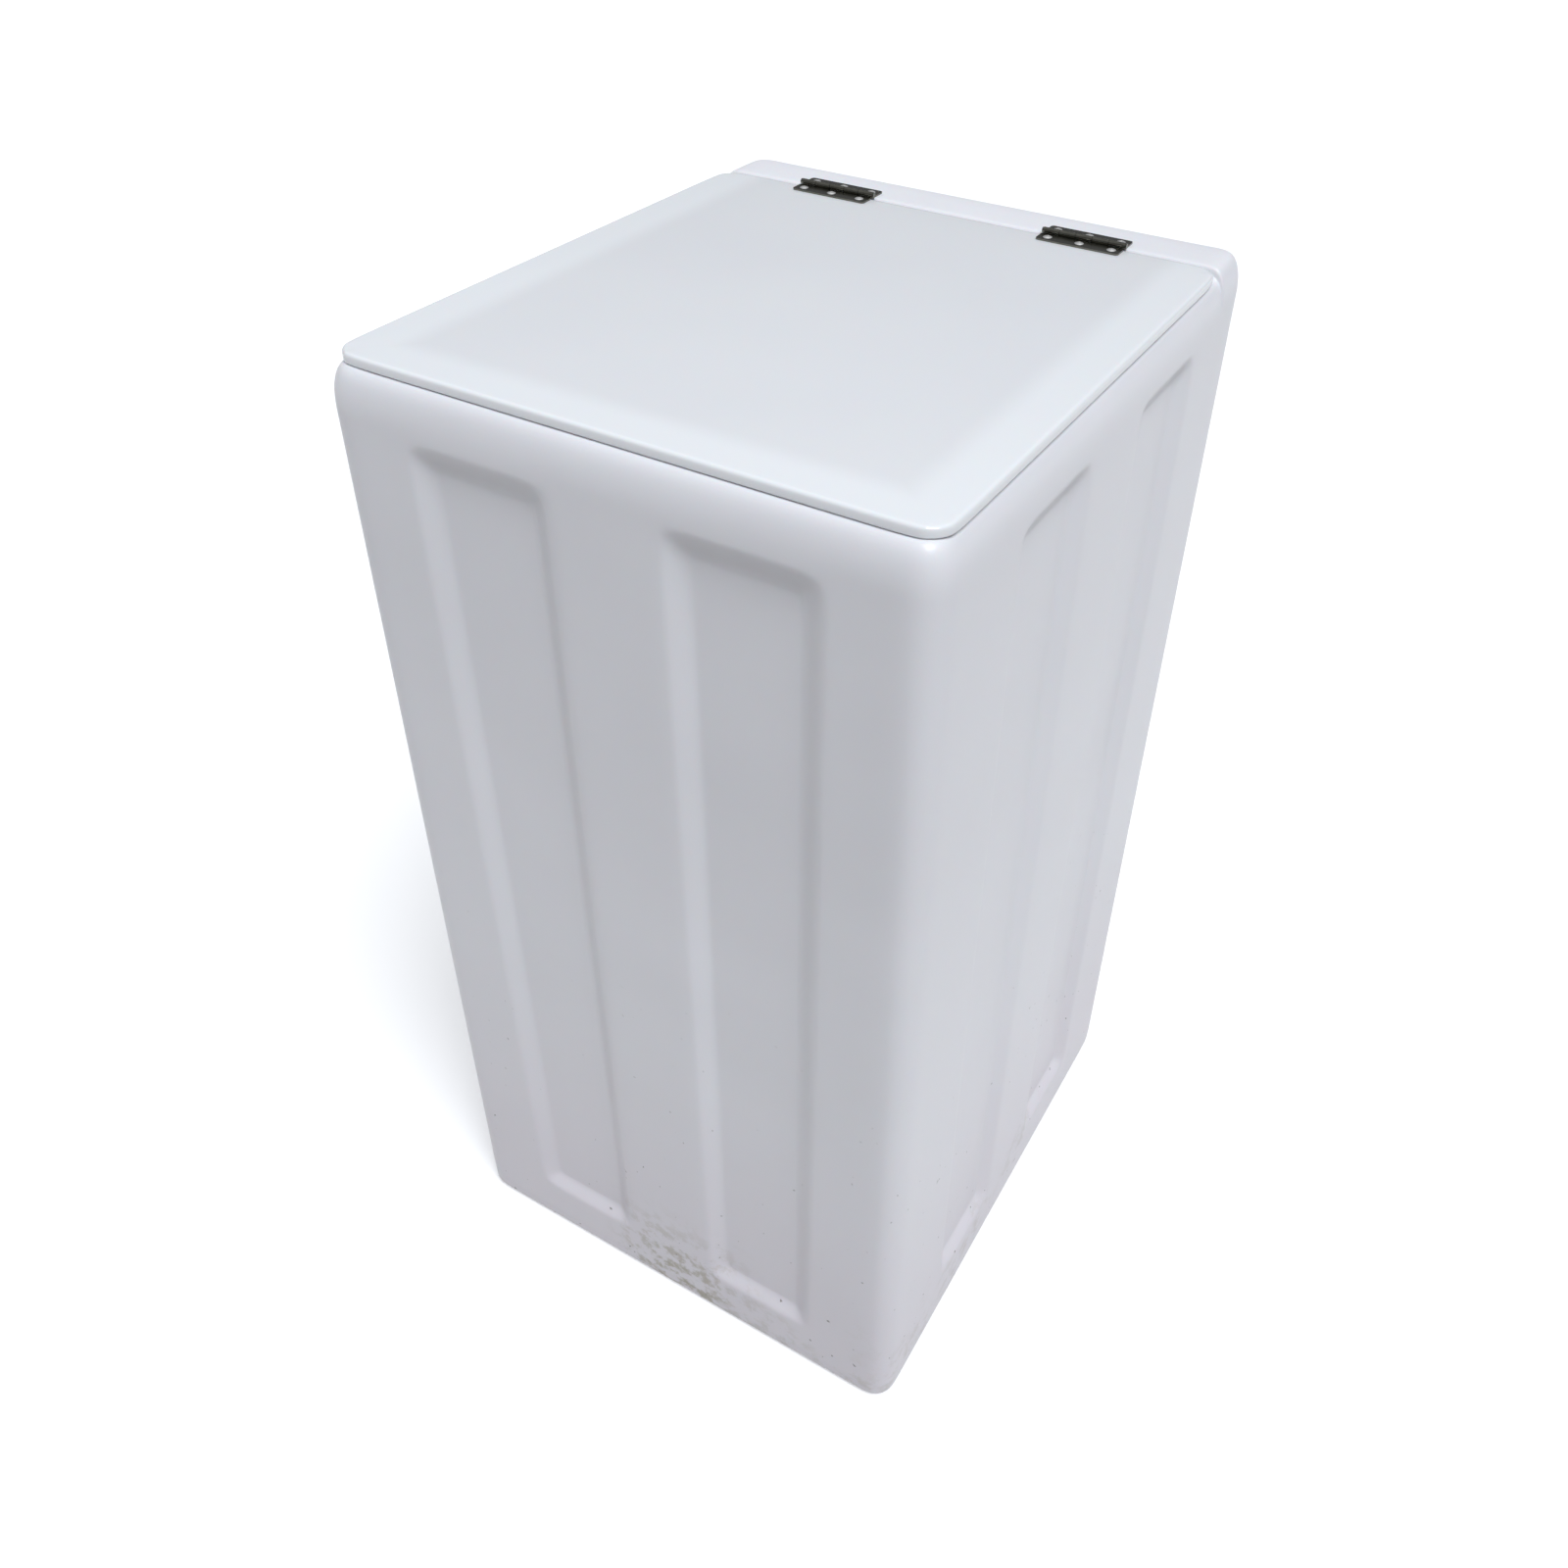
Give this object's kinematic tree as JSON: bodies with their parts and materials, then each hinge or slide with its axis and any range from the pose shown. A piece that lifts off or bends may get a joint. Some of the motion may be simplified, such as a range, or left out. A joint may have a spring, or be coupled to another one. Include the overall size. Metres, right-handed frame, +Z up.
{
  "type": "laundry hamper with lid",
  "caption": "Tall moulded plastic laundry hamper with recessed walls, a flat lid on steel butt hinges and a fixed strip along the back.",
  "frame": {"origin": "middle of the base, on the ground", "axes": "+Z up, -Y towards the front edge of the lid, +X to the right seen from the front"},
  "size_m": [0.54, 0.592, 1.0308],
  "materials": {
    "bin_plastic": "satin white moulded polyethylene",
    "lid_plastic": "glossy white polyethylene, slightly translucent",
    "polished_steel": "polished stainless steel",
    "screw_steel": "bright stainless steel",
    "zinc_steel": "zinc plated steel"
  },
  "bodies": {
    "bin": {"bin_body": "bin_plastic", "left_hinge_body_leaf": "polished_steel", "left_hinge_pin": "polished_steel", "left_hinge_body_screws": "screw_steel", "left_hinge_body_washers": "zinc_steel", "left_hinge_body_nuts": "zinc_steel", "right_hinge_body_leaf": "polished_steel", "right_hinge_pin": "polished_steel", "right_hinge_body_screws": "screw_steel", "right_hinge_body_washers": "zinc_steel", "right_hinge_body_nuts": "zinc_steel"},
    "lid_assembly": {"lid": "lid_plastic", "left_hinge_lid_leaf": "polished_steel", "left_hinge_lid_screws": "screw_steel", "left_hinge_lid_washers": "zinc_steel", "left_hinge_lid_nuts": "zinc_steel", "right_hinge_lid_leaf": "polished_steel", "right_hinge_lid_screws": "screw_steel", "right_hinge_lid_washers": "zinc_steel", "right_hinge_lid_nuts": "zinc_steel"}
  },
  "joints": [
    {"name": "lid_hinge", "type": "hinge", "parent": "bin", "child": "lid_assembly", "pos_m": [0, 0.23, 1.0283], "axis": [-1, 0, 0], "range_deg": [0, 180]}
  ]
}
